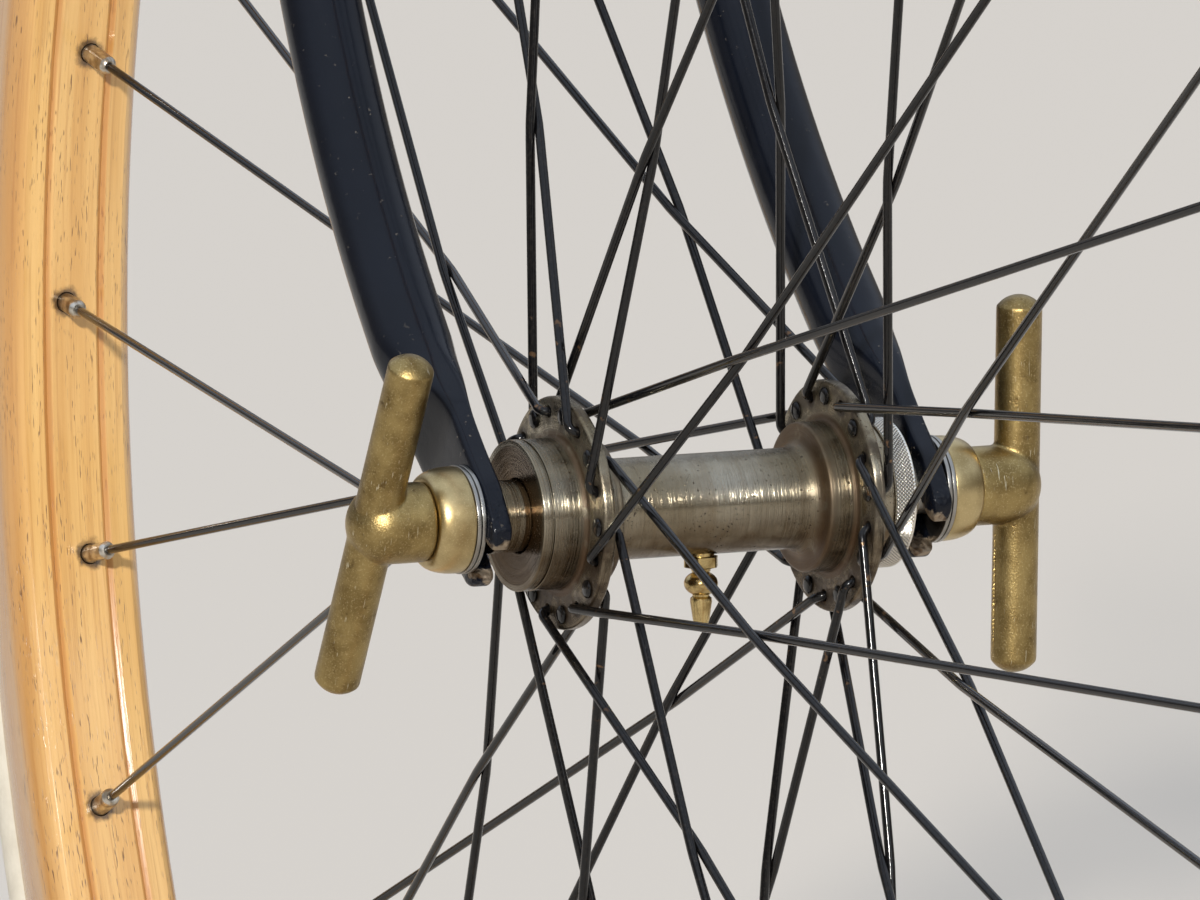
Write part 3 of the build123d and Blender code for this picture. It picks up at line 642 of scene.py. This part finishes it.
def flash_of(half, way, inward, across, height):
    """A thin ragged fin along the bar's lower half. It stands a little out of the bar, by a
    sine of the distance along it whose phase is itself stirred, and fades out at both ends."""
    run = np.linspace(-half + 2, -9, 160)
    ragged = 0.5 + 0.5 * np.sin(run * 2.3 + 1.7 * np.sin(run * 0.9)) * np.cos(run * 5.1)
    crest = bar_r - 0.08 + (0.12 + height * ragged) * np.sin(np.linspace(0, np.pi, 160)) ** 0.4
    foot = 0 * run + bar_r - 0.42
    width = np.array([-0.5, -0.14, 0.14, 0.5]) + 0 * run[:, None]
    fin = wrap(run[:, None] * way, inward, across, np.stack([foot, crest, crest, foot], 1), width)
    ends = fin.mean(1, keepdims=True)[[0, -1]] + 0 * fin[:2]
    return np.concatenate([ends[:1], fin, ends[1:]])


nose = np.linspace(0, np.pi / 2, 20)[1:]
boss = np.concatenate([rounded([(boss_low, 0, 0), (boss_low, boss_r, 0.3), (boss_straight, boss_r, 0)], 6),
                       np.stack([boss_straight + boss_nose * np.sin(nose), boss_r * np.cos(nose)], 1)])
for name, (side, ahead, tilt, half, out) in bars.items():
    swing, tip = np.radians((ahead, tilt))
    fore = np.array([np.cos(swing), 0, -np.sin(swing)])
    way = np.array([np.sin(swing) * np.cos(tip), -side * np.sin(tip), np.cos(swing) * np.cos(tip)])
    outward = np.cross(way, fore)
    middle = hub + side_way * side * out * mm
    bar = middle + bar_of(half, way, fore, outward) * mm
    nut = skin("wing_nut_skin_" + name, bar, bronze, "fork", "wing_nut_" + name)
    join(nut, skin("core", turned(boss * (side, 1), 96), bronze, "fork"))
    blend = nut.modifiers.new("one_skin", "REMESH")
    blend.mode = "VOXEL"
    blend.voxel_size = skin_grain * mm
    ease = nut.modifiers.new("fillet", "SMOOTH")
    ease.factor = 0.5
    ease.iterations = 9
    settle(nut)
    # flash is left where the mould's halves met, and stands out more on the left nut
    inward = outward if outward[1] * side < 0 else -outward
    fin = middle + flash_of(half, way, inward, fore, 0.42 if side > 0 else 0) * mm
    join(nut, skin("flash", fin, bronze, "fork"))
    nut.data.shade_smooth()

# Hub shell: one steel turning, nickelled, a slim barrel between two high flanges, each
# drilled for 18 spokes, bored at both ends for the cups and from below for the grease nipple.
bore_r, cup_seat_r, cup_seat_long = 8.0, 12.0, 9.0
right_end, left_end = 36.0, 34.6
half_hub = [(shoulder_y, barrel_r, 3.1), (shoulder_y, shoulder_r, 0.9), (flange_in, shoulder_r, 1.0),
            (flange_in, flange_r, 0.7), (flange_out, flange_r, 0.7), (flange_out, shoulder_r, 1.0)]
right_bore = [(cup_seat_long - right_end, bore_r, 0), (cup_seat_long - right_end, cup_seat_r, 0),
              (-right_end, cup_seat_r, 0.1), (-right_end, shoulder_r, 0.2)]
left_bore = [(left_end, shoulder_r, 0.2), (left_end, cup_seat_r, 0.1),
             (left_end - cup_seat_long, cup_seat_r, 0), (left_end - cup_seat_long, bore_r, 0)]
shell = rounded(right_bore + [(-y, radius, cut) for y, radius, cut in reversed(half_hub)]
                + half_hub + left_bore, 9)
shell_skin = skin("hub_shell_skin", turned(shell, 240), nickel, "wheel", "hub_shell",
                  closed_along=True)

hole_r, drill_past = 1.25, 0.7
grease_y, grease_hole_r = 0.9, 2.65
turn = full_turn(20)
spot = np.stack([np.cos(turn), 0 * turn, np.sin(turn)], 1)
drill = ((flange_in - drill_past, 0), (flange_in - drill_past, hole_r),
         (flange_out + drill_past, hole_r), (flange_out + drill_past, 0))
drills = []
for side, name in ((-1, "right"), (1, "left")):
    for k in np.radians(first_hole[name] + hole_step * np.arange(18)):
        centre = hub / mm + hole_circle_r * np.array([np.cos(k), 0, np.sin(k)])
        drills.append([centre + size * spot + side_way * side * y for y, size in drill])
flat_spot = np.stack([np.cos(turn), np.sin(turn), 0 * turn], 1)
drills.append([hub / mm + size * flat_spot + np.array([0, grease_y, z])
               for z, size in ((-12, 0), (-12, grease_hole_r), (-6, grease_hole_r), (-6, 0))])
carve(shell_skin, skin("drills", np.array(drills) * mm, nickel, "wheel"), 0.00018)

# Cups: turned and nickelled, pressed into the shell. The right one ends in a narrow lip
# round a dished face; the left one carries a broad diamond knurl for the fingers.
cup_bore, skirt_in, skirt_out, neck_r = 7.15, 9.6, 11.95, 13.9
teeth, samples, knurl_step, knurl_deep = 120, 6, 0.085, 0.22


def cup_of(edge, face):
    """A cup's profile from its skirt in the shell to its outer face."""
    return rounded([(edge - 3, skirt_in, 0), (edge - 3, skirt_out, 0), (edge, skirt_out, 0),
                    (edge, neck_r, 0), (edge + 0.35, neck_r, 0), (edge + 0.35, shoulder_r, 0.15),
                    (face, shoulder_r, 0.25), (face, 13.25, 0.2), (face - 0.8, cup_bore, 0.2),
                    (face - 2, cup_bore, 0), (face - 2, skirt_in, 0)], 4)


def knurled_cup(edge, face):
    """The cup turned, with its rim pressed in where either of two crossed sets of slanting
    lines runs: the depth falls off straight to both sides of the nearer line."""
    cup = cup_of(edge, face)
    ring = np.arange(edge + 0.75, face - 0.5, knurl_step)
    start = np.argmax(cup[:, 0] > edge + 0.6)
    cup = np.concatenate([cup[:start], np.stack([ring, shoulder_r + 0 * ring], 1), cup[start:]])
    sheet = turned(cup, teeth * samples)
    around = np.arange(teeth * samples) / samples
    rung = ring[:, None] / (2 * np.pi * shoulder_r / teeth)
    one = np.abs(((around + rung) % 1) * 2 - 1)
    two = np.abs(((around - rung) % 1) * 2 - 1)
    deep = knurl_deep * (1 - np.minimum(one, two) * 2).clip(0, 1)
    rows = slice(start, start + len(ring))
    middle = hub * (1, 0, 1)
    from_axle = (sheet[rows] - middle) * (1, 0, 1)
    sheet[rows] -= from_axle * (deep / shoulder_r)[..., None]
    return sheet


skin("cup_skin_right", turned(cup_of(right_end + 0.05, 38.3) * (-1, 1), 160), nickel, "wheel",
     "cup_right", closed_along=True)
skin("cup_skin_left", knurled_cup(left_end + 0.05, 39.6), nickel, "wheel", "cup_left",
     closed_along=True)

# Grease nipple: a small brass turning screwed up into the barrel, with a hexagon for the
# spanner, a ball that holds the spring and a tapered nose for the gun.
brass = Finish("bright_brass", Metallic=1.0)
where = brass.place()
cloud = brass.grain(where, 300, 4)
brass.shade(Base_Color=brass.tint(cloud.rise(0.4, 0.7), paint(204, 180, 126), paint(140, 114, 70)),
            Roughness=cloud * 0.2 + 0.14,
            Normal=brass.relief(brass.grain(where, 2500, 2), 0.00002))

# its profile as height from the axle and radius, from inside the barrel down to the nose
ball_z, ball_half_high, ball_r = -15.2, 2.4, 3.2
hex_top, hex_foot, hex_half_flats = -9.88, -12.22, 3.1
foot = [(-8.45, 0), (-8.45, 2.3), (-8.6, 2.55), (-9.85, 2.55)]
spanner_hex = [(-9.9, 2.9), (-10.05, 3.45), (-12.0, 3.45), (-12.2, 2.7)]
neck = [(-12.3, 1.95), (-12.8, 1.8)]
nose = [(-17.6, 1.62), (-18.0, 2.05), (-18.6, 2.1), (-22.0, 1.62), (-22.8, 1.35), (-23.1, 0.9), (-23.15, 0)]
swell = np.linspace(-1.05, 1.05, 17)
ball = np.stack([ball_z - ball_half_high * np.sin(swell), ball_r * np.cos(swell) + 0.06], 1)
down, radius = np.concatenate([foot + spanner_hex + neck, ball, nose]).T[..., None]
turn = full_turn(72)
flats = hex_half_flats / np.cos((turn + np.pi / 6) % (np.pi / 3) - np.pi / 6)
wide = np.where((down < hex_top) & (down > hex_foot), np.minimum(radius, flats), radius)
nipple = np.stack([wide * np.cos(turn), wide * np.sin(turn) + grease_y, down + 0 * turn], -1)
skin("grease_nipple_skin", hub + nipple * mm, brass, "wheel", "grease_nipple", sharp=30)

# Spokes: 36 hard steel wires in black enamel, headed and bent at the flange, each crossing
# three others on its side and laced under the last one, then screwed into its nipple.
black = Finish("spoke_black", Specular_IOR_Level=0.3, Coat_Weight=0.15, Coat_Roughness=0.04)
where = black.place(hub)
x, _, z = black.measure(hub)
specks = black.grain(where, 1500, 3)
rubbed = black.grain(where, 420, 4).rise(0.64, 0.72) * x.hypot(z).rise(50, 20)
shown = black.tint(specks.rise(0.45, 0.7), (0.003, 0.003, 0.0035, 1), (0.010, 0.0085, 0.0075, 1))
shown = black.tint(specks.rise(0.74, 0.82) * 0.6, shown, paint(110, 92, 72))
black.shade(Base_Color=black.tint(rubbed, shown, paint(120, 92, 66)),
            Metallic=rubbed * 0.8,
            Roughness=specks * 0.12 + 0.07,
            Normal=black.relief(specks, 0.000015))

wire_r, elbow_r, lace_gap = 0.9, 2.2, 0.93
seat_r, seat_y = 300, 1.7                           # the nipples' seats in the rim
swing = np.radians(3 * hole_step)
reach = np.hypot(seat_r * np.cos(swing) - hole_circle_r, seat_r * np.sin(swing))
slant = np.arctan2(seat_r * np.sin(swing), seat_r * np.cos(swing) - hole_circle_r)
meet = swing - half_step
lace_at = hole_circle_r * np.sin(meet) / np.sin(slant - meet)
lace_level = flange_mid + (seat_y - flange_mid) * lace_at / reach
# first hole after the flange's first, way of leaning, side of the elbow, level of the head,
# level of the wire at the flange, and its level where it crosses the last spoke
kinds = {"outer": (0, 1, 1, flange_in, flange_out + 1.8, lace_level - lace_gap),
         "inner": (hole_step, -1, -1, flange_out, flange_in - 1.4, lace_level + lace_gap)}
head_r = np.array([0.0, 0.9, 1.5, 1.75, 1.75, 1.45, 0.92])
head_stands = np.array([0.8, 0.78, 0.62, 0.35, 0.12, 0.02, -0.12])


def lay_of(side, shift, sense):
    """Start and direction to the rim of the nine spokes of a kind."""
    hole = np.radians(first_hole[side] + shift + 2 * hole_step * np.arange(9))
    bearing = hole + sense * slant
    start = hub / mm + hole_circle_r * np.stack([np.cos(hole), 0 * hole, np.sin(hole)], 1)
    return start, np.stack([np.cos(bearing), 0 * bearing, np.sin(bearing)], 1)


def wire_of(out, head_at, elbow_at, lace_to):
    """The wire's middle line in its own plane, u to the rim and v outboard, and its radius:
    a domed head, a quarter turn through the flange, then two straight runs that meet where
    it crosses the last spoke. It starts and ends in a pole."""
    curve = np.linspace(0, np.pi / 2, 9)
    bend_u = elbow_r * (1 - np.cos(curve))
    bend_v = elbow_at - out * elbow_r * (1 - np.sin(curve)) + (lace_to - elbow_at) / lace_at * bend_u
    run_u = elbow_r + (lace_at - elbow_r) * np.linspace(0.04, 0.96, 12)
    run_v = elbow_at + (lace_to - elbow_at) * run_u / lace_at
    past = np.linspace(0.003, 0.97, 10)
    past_u = lace_at + (reach - lace_at) * past
    past_v = lace_to + (seat_y - lace_to) * past
    u = np.concatenate([0 * head_r, bend_u, run_u, past_u, past_u[-1:]])
    v = np.concatenate([head_at - out * head_stands, bend_v, run_v, past_v, past_v[-1:]])
    radius = np.concatenate([head_r, 0 * u[len(head_r):-1] + wire_r, [0]])
    return u, v, radius


nipple_seats = {"left": [], "right": []}
phi = full_turn(14)
for side in ("left", "right"):
    outward = side_way * (1 if side == "left" else -1)
    for kind, (shift, sense, out, head_at, elbow_at, lace_to) in kinds.items():
        start, along = lay_of(side, shift, sense)
        u, v, radius = wire_of(out, head_at, elbow_at, lace_to)
        dv, du = np.gradient(v), np.gradient(u)
        du[:len(head_r)], dv[:len(head_r)] = 0, out
        du[-1], dv[-1] = du[-2], dv[-2]
        size = np.hypot(du, dv)
        start, along = start[:, None], along[:, None]
        line = start + u[:, None] * along + v[:, None] * outward
        normal = (-dv / size)[:, None] * along + (du / size)[:, None] * outward
        wires = wrap(line, normal, np.cross(along, outward), radius[:, None] * np.cos(phi),
                     radius[:, None] * np.sin(phi))
        skin(f"spoke_wires_{side}_{kind}", wires * mm, black, "wheel",
             f"spokes_{side}_{kind}")
        seat = start + reach * along + seat_y * outward
        to_hub = start + lace_at * along + lace_to * outward - seat
        nipple_seats[side].append((seat, to_hub / np.linalg.norm(to_hub, axis=-1, keepdims=True)))

# Nipples: brass, nickelled, turned with a round head inside the rim, a bevelled end and
# four flats for the spoke key.
worn_nickel = Finish("worn_nickel", Metallic=1.0)
where = worn_nickel.place()
cloud = worn_nickel.grain(where, 420, 4)
worn = worn_nickel.tint(cloud.rise(0.35, 0.65), paint(208, 202, 190), paint(142, 126, 104))
worn_nickel.shade(Base_Color=worn,
                  Roughness=cloud * 0.3 + 0.18,
                  Normal=worn_nickel.relief(worn_nickel.grain(where, 1800, 3), 0.00003))

# distance from the rim's inner face towards the hub, radius, and 1 where it is square
key_flats = 1.6
profile = [(8.5, 0, 0), (8.5, 1.2, 0), (8.1, 1.62, 0), (7.6, 1.9, 0), (7.2, 1.95, 1), (1.6, 1.95, 1),
           (1.0, 1.95, 0), (-8, 1.95, 0), (-8.5, 2.9, 0), (-10.6, 2.9, 0), (-11, 2.5, 0), (-11, 0, 0)]
along, radius, square = np.array(profile).T[..., None]
phi = full_turn(20)
flats = key_flats / np.maximum(np.abs(np.cos(phi)), np.abs(np.sin(phi)))
shape = np.where(square > 0, np.minimum(radius, flats), radius)
for side in ("left", "right"):
    seats, ways = (np.concatenate(part) for part in zip(*nipple_seats[side]))
    one = np.cross(ways, side_way)
    one /= np.linalg.norm(one, axis=-1, keepdims=True)
    bodies = wrap(seats + along * ways, one, np.cross(ways, one), shape * np.cos(phi), shape * np.sin(phi))
    skin("nipple_bodies_" + side, bodies * mm, worn_nickel, "wheel", "nipples_" + side)

# Rim: a beech strip steamed into a hoop and scarfed, with two beaded grooves inside and a
# bed for the tyre outside, stained and varnished. Damp has darkened it round the nipples.
wood = Finish("rim_wood", Coat_Weight=0.7, Coat_Roughness=0.08)
where = wood.place(hub)
x, y, z = wood.measure(hub)
r = x.hypot(z)
angle = wood.maths("ARCTAN2", z, x)


def figure(length, width, detail):
    """Noise drawn out along the hoop, with the grain's length and width in millimetres."""
    laps = seat_r / length
    spot = wood.vector(x / r * laps, z / r * laps, y / width)
    return wood.node("TexNoise", {"Vector": spot, "W": r / width, "Scale": 1.0, "Detail": detail},
                     noise_dimensions="4D")


def from_hole(side, level):
    """Distance from the nearest nipple hole of one side."""
    return nearest_hole(wood, angle, first_hole[side], seat_r).hypot(y - level)


broad = figure(120, 4, 4)
streak = figure(35, 0.6, 4)
pore = figure(3, 0.24, 1).rise(0.62, 0.70) * figure(30, 3, 2).rise(0.38, 0.58)
groove = abs(abs(y) - 6.1).rise(1.1, 0.4)
hole = from_hole("left", seat_y) & from_hole("right", -seat_y)
damp = (hole + (wood.grain(where, 420, 4, 0.6) - 0.5) * 3).rise(3.8, 2.2)
wall = abs(y).rise(10.5, 13.5)
honey = wood.tint(broad.rise(0.3, 0.7), paint(221, 179, 114), paint(203, 155, 90))
honey = wood.tint(streak.rise(0.48, 0.75) * 0.5, honey, paint(170, 120, 66))
honey = wood.tint(wall * 0.5, honey, paint(160, 106, 56))
honey = wood.tint(pore * 0.8, honey, paint(92, 60, 32))
honey = wood.tint(groove * 0.6, honey, paint(172, 108, 46))
wood.shade(Base_Color=wood.tint(damp * 0.85, honey, paint(46, 30, 20)),
           Roughness=broad * 0.15 + 0.16 + pore * 0.2,
           Normal=wood.relief(streak + pore * -0.8, 0.00006))
dress(wood, "rim")

# Tyre and valve: a sewn tubular, cream rubber over cotton, with a ribbed tread, glued in the
# rim's bed on a strip of tape. Its nickelled valve comes through the rim.
rubber = Finish("cream_rubber")
where = rubber.place(hub)
x, _, z = rubber.measure(hub)
dirt = rubber.grain(where, 60, 6, 0.7)
soiled = dirt.rise(0.35, 0.85) * 0.45 + x.hypot(z).rise(336.5, 338.5) * 0.25
rubber.shade(Base_Color=rubber.tint(soiled, paint(224, 216, 198), paint(158, 145, 122)),
             Roughness=dirt * 0.2 + 0.5,
             Normal=rubber.relief(rubber.grain(where, 900, 3), 0.0001))

tyre_centre_r, tyre_r = 327.5, 12.43
tread_half, bed_from, ribs = np.radians(42), np.radians(128), 42
psi = full_turn(144)
off_crown = np.abs((psi + np.pi) % (2 * np.pi) - np.pi)
rib = np.where(off_crown < tread_half, 0.28 * np.clip(np.cos(off_crown * ribs) * 3, -1, 1) - 0.3, -0.25)
section_r = tyre_r + np.where(off_crown > bed_from, -0.05, rib)
tyre = turned(np.stack([section_r * np.sin(psi), tyre_centre_r + section_r * np.cos(psi)], 1), 540)
skin("tyre_casing", tyre, rubber, "wheel", "tyre", closed_along=True)
dress(worn_nickel, "valve")
